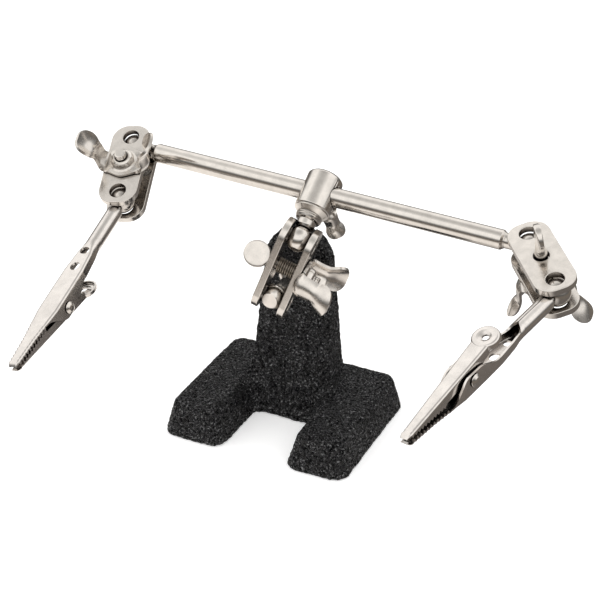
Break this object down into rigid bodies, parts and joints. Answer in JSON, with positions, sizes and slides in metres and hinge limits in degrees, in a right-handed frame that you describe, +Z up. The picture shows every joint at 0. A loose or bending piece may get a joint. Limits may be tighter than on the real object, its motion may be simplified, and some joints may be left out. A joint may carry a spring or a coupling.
{
  "type": "helping hands clamp",
  "caption": "Soldering stand: a heavy cast base and upright carry a cross rod on a two-plate ball clamp, and an alligator clip hangs on a ball clamp at each end of the rod.",
  "frame": {"origin": "middle of the base's underside", "axes": "+X along the cross rod towards the right-hand clip, -Y towards the open side of the base where the clips hang, +Z up"},
  "size_m": [0.1523, 0.094, 0.0878],
  "materials": {
    "black_casting": "black wrinkle paint over a rough casting, matt, with fine speckle",
    "bright_nickel": "bright nickel plate with fine turning and stamping marks",
    "nickel_clip": "nickel-plated pressed sheet steel, slightly softer than the turned pieces",
    "spring_steel": "drawn spring wire, satin"
  },
  "bodies": {
    "base": {"base_casting": "black_casting", "base_stud": "bright_nickel"},
    "stud_ball": {"stud_ball": "bright_nickel"},
    "center_clamp": {"center_plate_left": "bright_nickel", "center_bolt": "bright_nickel", "center_spring": "spring_steel"},
    "center_loose_plate": {"center_plate_right": "bright_nickel"},
    "center_wing_nut": {"center_wing_nut": "bright_nickel"},
    "holder_ball": {"holder_ball": "bright_nickel"},
    "rod_holder": {"rod_holder": "bright_nickel"},
    "holder_screw": {"holder_screw": "bright_nickel"},
    "cross_rod": {"cross_rod": "bright_nickel"},
    "left_rod_ball": {"left_rod_ball": "bright_nickel"},
    "left_clamp": {"left_plate_back": "bright_nickel", "left_bolt": "bright_nickel", "left_spring": "spring_steel"},
    "left_loose_plate": {"left_plate_front": "bright_nickel"},
    "left_wing_nut": {"left_wing_nut": "bright_nickel"},
    "left_clip_ball": {"left_clip_ball": "bright_nickel"},
    "left_clip": {"left_clip_stem": "bright_nickel", "left_fixed_jaw": "nickel_clip", "left_jaw_rivet": "bright_nickel", "left_jaw_spring": "spring_steel"},
    "left_moving_jaw": {"left_moving_jaw": "nickel_clip"},
    "right_rod_ball": {"right_rod_ball": "bright_nickel"},
    "right_clamp": {"right_plate_front": "bright_nickel", "right_bolt": "bright_nickel", "right_spring": "spring_steel"},
    "right_loose_plate": {"right_plate_back": "bright_nickel"},
    "right_wing_nut": {"right_wing_nut": "bright_nickel"},
    "right_clip_ball": {"right_clip_ball": "bright_nickel"},
    "right_clip": {"right_clip_stem": "bright_nickel", "right_fixed_jaw": "nickel_clip", "right_jaw_rivet": "bright_nickel", "right_jaw_spring": "spring_steel"},
    "right_moving_jaw": {"right_moving_jaw": "nickel_clip"}
  },
  "joints": [
    {"name": "stack_turn", "type": "hinge", "parent": "base", "child": "stud_ball", "pos_m": [0.0007, -0.0086, 0.0466], "axis": [0, 1, 0], "range_deg": [-12, 15]},
    {"name": "stack_swing", "type": "hinge", "parent": "stud_ball", "child": "center_clamp", "pos_m": [0.0007, -0.0086, 0.0466], "axis": [0.9324, 0.1203, -0.3409], "range_deg": [-5, 25]},
    {"name": "center_plate_slide", "type": "slide", "parent": "center_clamp", "child": "center_loose_plate", "axis": [0.9324, 0.1203, -0.3409], "range_m": [0, 0.0007]},
    {"name": "center_nut_turn", "type": "hinge", "parent": "center_loose_plate", "child": "center_wing_nut", "pos_m": [0.00379, -0.00679, 0.05567], "axis": [0.9324, 0.1203, -0.3409], "range_deg": [0, 360]},
    {"name": "holder_swing", "type": "hinge", "parent": "center_clamp", "child": "holder_ball", "pos_m": [0.00688, -0.00497, 0.06474], "axis": [0.9324, 0.1203, -0.3409], "range_deg": [-5, 35]},
    {"name": "holder_twist", "type": "hinge", "parent": "holder_ball", "child": "rod_holder", "pos_m": [0.00688, -0.00497, 0.06474], "axis": [0.0388, 0.7994, 0.5995], "range_deg": [-20, 8]},
    {"name": "holder_screw_turn", "type": "hinge", "parent": "rod_holder", "child": "holder_screw", "pos_m": [0.00746, 0.00702, 0.07373], "axis": [-0.0125, 0.6003, -0.7996], "range_deg": [-60, 15]},
    {"name": "rod_slide", "type": "slide", "parent": "rod_holder", "child": "cross_rod", "axis": [0.9992, -0.0235, -0.0333], "range_m": [-0.02, 0.02]},
    {"name": "left_roll", "type": "hinge", "parent": "cross_rod", "child": "left_rod_ball", "pos_m": [-0.05364, 0.00846, 0.07576], "axis": [0.9992, -0.0235, -0.0333], "range_deg": [-30, 40]},
    {"name": "left_swing", "type": "hinge", "parent": "left_rod_ball", "child": "left_clamp", "pos_m": [-0.05364, 0.00846, 0.07576], "axis": [-0.038, 0.4931, -0.8692], "range_deg": [-30, 30]},
    {"name": "left_plate_slide", "type": "slide", "parent": "left_clamp", "child": "left_loose_plate", "axis": [0.038, -0.4931, 0.8692], "range_m": [0, 0.0007]},
    {"name": "left_nut_turn", "type": "hinge", "parent": "left_loose_plate", "child": "left_wing_nut", "pos_m": [-0.05127, 0.00028, 0.07102], "axis": [0.038, -0.4931, 0.8692], "range_deg": [0, 360]},
    {"name": "left_clip_swing", "type": "hinge", "parent": "left_clamp", "child": "left_clip_ball", "pos_m": [-0.0489, -0.0079, 0.06627], "axis": [-0.038, 0.4931, -0.8692], "range_deg": [-30, 30]},
    {"name": "left_clip_twist", "type": "hinge", "parent": "left_clip_ball", "child": "left_clip", "pos_m": [-0.0489, -0.0079, 0.06627], "axis": [0.016, -0.9272, -0.3741], "range_deg": [-90, 90]},
    {"name": "left_jaw_open", "type": "hinge", "parent": "left_clip", "child": "left_moving_jaw", "pos_m": [-0.04785, -0.04452, 0.04961], "axis": [0.9747, -0.069, 0.2126], "range_deg": [0, 20]},
    {"name": "right_roll", "type": "hinge", "parent": "cross_rod", "child": "right_rod_ball", "pos_m": [0.07026, 0.00554, 0.07164], "axis": [0.9992, -0.0235, -0.0333], "range_deg": [-30, 40]},
    {"name": "right_swing", "type": "hinge", "parent": "right_rod_ball", "child": "right_clamp", "pos_m": [0.07026, 0.00554, 0.07164], "axis": [0.094, 0.3121, -0.9454], "range_deg": [-30, 30]},
    {"name": "right_plate_slide", "type": "slide", "parent": "right_clamp", "child": "right_loose_plate", "axis": [0.094, 0.3121, -0.9454], "range_m": [0, 0.0007]},
    {"name": "right_nut_turn", "type": "hinge", "parent": "right_loose_plate", "child": "right_wing_nut", "pos_m": [0.07638, -0.00183, 0.06981], "axis": [0.094, 0.3121, -0.9454], "range_deg": [0, 360]},
    {"name": "right_clip_swing", "type": "hinge", "parent": "right_clamp", "child": "right_clip_ball", "pos_m": [0.08249, -0.0092, 0.06799], "axis": [0.094, 0.3121, -0.9454], "range_deg": [-30, 30]},
    {"name": "right_clip_twist", "type": "hinge", "parent": "right_clip_ball", "child": "right_clip", "pos_m": [0.08249, -0.0092, 0.06799], "axis": [-0.2721, -0.9382, -0.214], "range_deg": [-90, 90]},
    {"name": "right_jaw_open", "type": "hinge", "parent": "right_clip", "child": "right_moving_jaw", "pos_m": [0.07127, -0.04723, 0.06113], "axis": [-0.9489, 0.2985, -0.1023], "range_deg": [0, 20]}
  ],
  "couplings": [
    {"joint": "center_nut_turn", "follows": "center_plate_slide", "rad_per_m": 8975.1},
    {"joint": "left_nut_turn", "follows": "left_plate_slide", "rad_per_m": 8975.1},
    {"joint": "right_nut_turn", "follows": "right_plate_slide", "rad_per_m": 8975.1}
  ]
}
